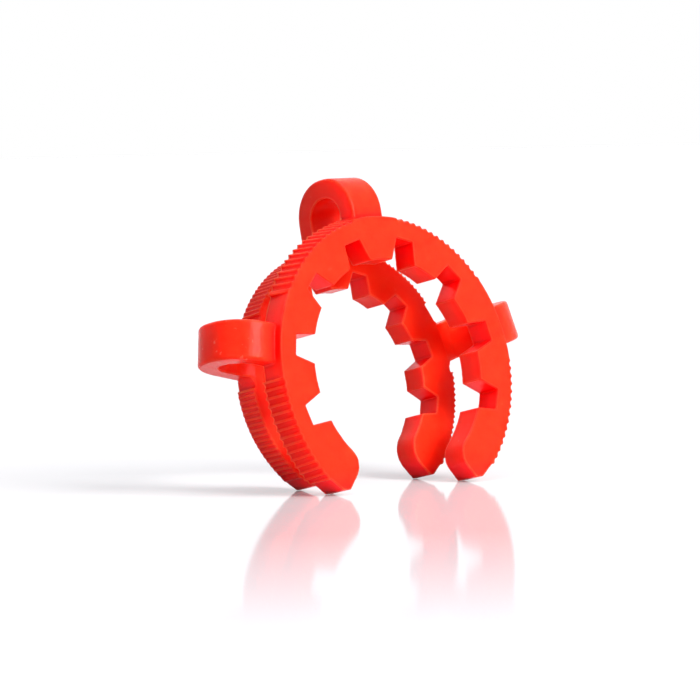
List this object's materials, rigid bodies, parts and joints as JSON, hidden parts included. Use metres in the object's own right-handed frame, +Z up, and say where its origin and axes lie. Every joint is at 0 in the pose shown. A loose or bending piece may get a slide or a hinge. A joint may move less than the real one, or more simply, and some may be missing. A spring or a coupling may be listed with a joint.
{
  "type": "ground glass joint clip",
  "caption": "One-piece moulded spring clip for a size 29 conical ground glass joint: two open toothed rings joined by three looped bridges.",
  "frame": {"origin": "on the bench under the middle of the clip's box, as it stands on its four feet", "axes": "+Z up, +X to the clip's right seen from the front ring, -Y towards the front ring, which leans back 12 degrees"},
  "size_m": [0.0612, 0.0223, 0.0472],
  "materials": {
    "acetal_red": "injection moulded acetal, orange-red, glossy"
  },
  "bodies": {
    "root": {"joint_clip": "acetal_red"}
  },
  "joints": []
}
